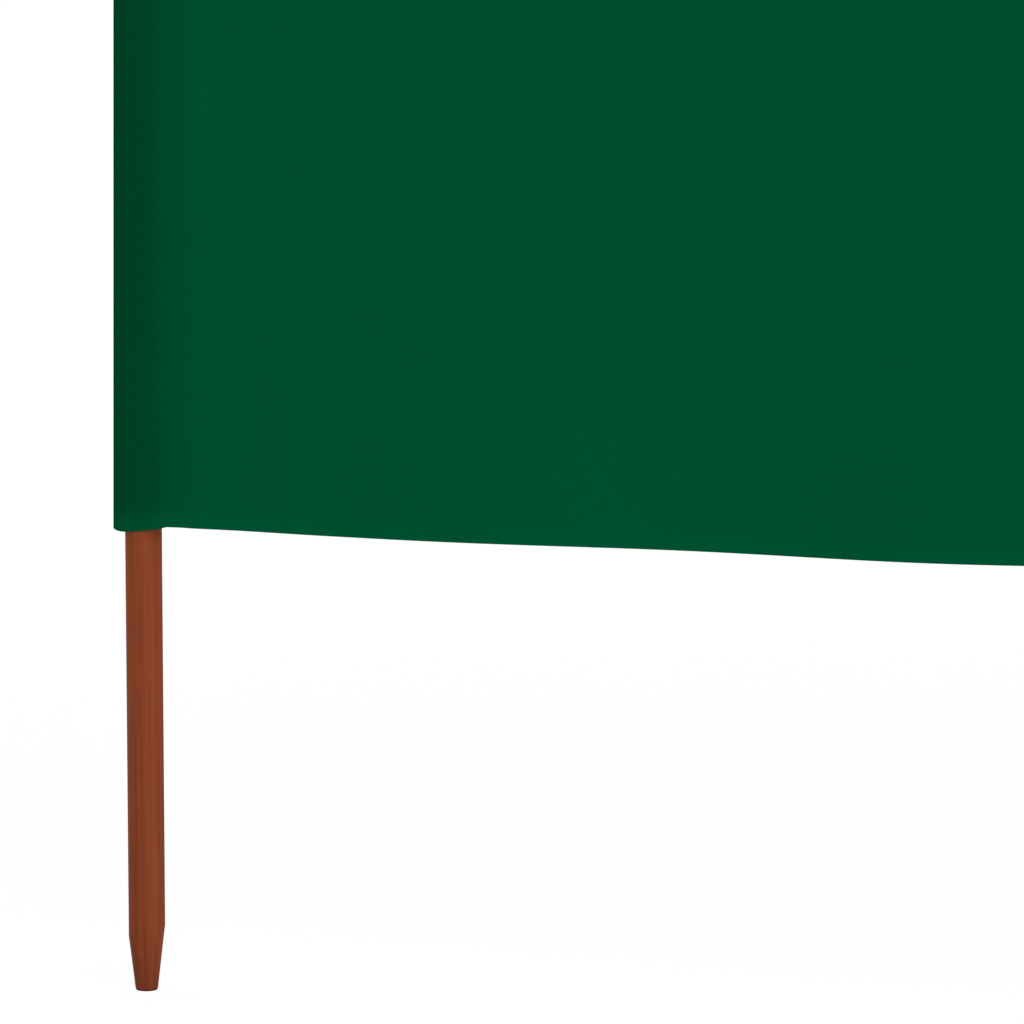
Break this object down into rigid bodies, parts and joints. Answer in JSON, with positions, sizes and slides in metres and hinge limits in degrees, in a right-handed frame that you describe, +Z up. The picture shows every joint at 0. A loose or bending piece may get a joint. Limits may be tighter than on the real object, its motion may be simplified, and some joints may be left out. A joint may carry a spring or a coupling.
{
  "type": "beach windbreak",
  "caption": "Beach windbreak: a strip of plain green cloth standing in zigzag bays on round pointed wooden poles, each held in a sewn sleeve and pushed into the sand.",
  "frame": {"origin": "centre of the flat foot of the middle pole, pole_3", "axes": "+Z up along the poles, +X along the line of the windbreak, -Y to the front, the side that the picture shows"},
  "size_m": [4.6336, 0.3869, 1.2],
  "materials": {
    "pole_wood": "matte red-brown stain",
    "cloth": "matte plain weave, dark green"
  },
  "bodies": {
    "root": {"pole_1": "pole_wood", "pole_2": "pole_wood", "pole_3": "pole_wood", "pole_4": "pole_wood", "pole_5": "pole_wood", "sleeve_1": "cloth", "sleeve_2": "cloth", "sleeve_3": "cloth", "sleeve_4": "cloth", "sleeve_5": "cloth", "bay_1_cloth": "cloth", "bay_2_cloth": "cloth", "bay_3_cloth": "cloth", "bay_4_cloth": "cloth", "bay_1_top_hem": "cloth", "bay_2_top_hem": "cloth", "bay_3_top_hem": "cloth", "bay_4_top_hem": "cloth", "bay_1_bottom_hem": "cloth", "bay_2_bottom_hem": "cloth", "bay_3_bottom_hem": "cloth", "bay_4_bottom_hem": "cloth"}
  },
  "joints": []
}
